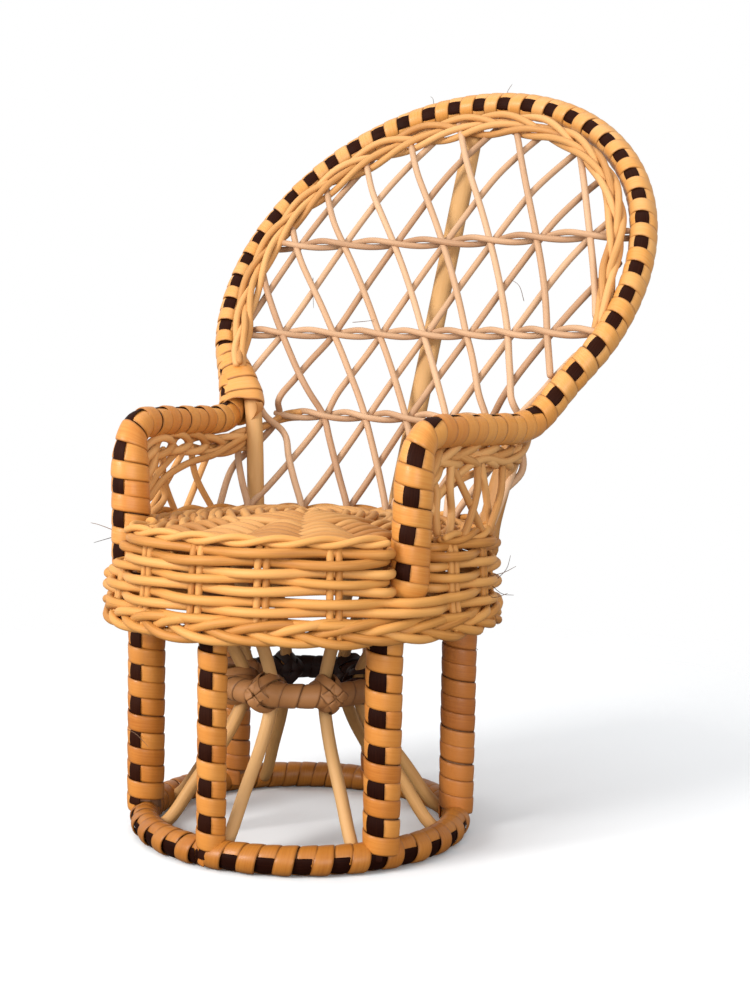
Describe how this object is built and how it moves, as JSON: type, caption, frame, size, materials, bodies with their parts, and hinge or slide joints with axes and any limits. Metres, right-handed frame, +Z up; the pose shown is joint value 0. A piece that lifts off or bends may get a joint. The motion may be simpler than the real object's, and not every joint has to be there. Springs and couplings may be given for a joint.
{
  "type": "miniature fan-back wicker armchair",
  "caption": "Miniature wicker armchair with a tall round reclined fan back, wrapped arms, a drum seat and bound legs on a floor ring; nothing moves.",
  "frame": {"origin": "on the floor, under the middle of the chair's outline seen from above", "axes": "+Z up, the chair faces -Y, +X towards the sitter's left arm"},
  "size_m": [0.199, 0.2344, 0.3011],
  "materials": {
    "binding_cane": "glossy peeled cane strip wound over rods",
    "dark_cane": "dark brown dyed cane strip",
    "rod_cane": "plain round cane, satin",
    "reed": "bare round reed, matt",
    "seat_reed": "woven round reed, satin"
  },
  "bodies": {
    "root": {"base_ring": "rod_cane", "leg_left": "rod_cane", "leg_front": "rod_cane", "leg_right": "rod_cane", "leg_rear_right": "rod_cane", "leg_rear": "rod_cane", "leg_rear_left": "rod_cane", "waist_ring": "rod_cane", "arm_and_hoop_rod": "rod_cane", "back_pole": "rod_cane", "stake_left": "rod_cane", "stake_right": "rod_cane", "base_ring_binding": "binding_cane", "leg_left_binding": "binding_cane", "leg_front_binding": "binding_cane", "leg_right_binding": "binding_cane", "leg_rear_right_binding": "binding_cane", "leg_rear_binding": "binding_cane", "leg_rear_left_binding": "binding_cane", "arm_and_hoop_binding": "binding_cane", "waist_ring_binding": "dark_cane", "waist_stick_1": "reed", "waist_stick_2": "reed", "waist_stick_3": "reed", "waist_stick_4": "reed", "waist_stick_5": "reed", "waist_stick_6": "reed", "waist_stick_7": "reed", "waist_stick_8": "reed", "hoop_braid": "reed", "reed_left_1": "reed", "reed_left_2": "reed", "reed_left_3": "reed", "reed_left_4": "reed", "reed_left_5": "reed", "reed_left_6": "reed", "reed_left_7": "reed", "reed_left_8": "reed", "reed_left_9": "reed", "reed_left_10": "reed", "reed_right_1": "reed", "reed_right_2": "reed", "reed_right_3": "reed", "reed_right_4": "reed", "reed_right_5": "reed", "reed_right_6": "reed", "reed_right_7": "reed", "reed_right_8": "reed", "reed_right_9": "reed", "reed_right_10": "reed", "twined_row_1": "reed", "twined_row_2": "reed", "twined_row_3": "reed", "side_panel_left": "reed", "side_panel_right": "reed", "seat_band": "seat_reed", "seat_border": "seat_reed", "seat_rim_front": "seat_reed", "seat_rim_back": "seat_reed", "seat_mat": "seat_reed"}
  },
  "joints": []
}
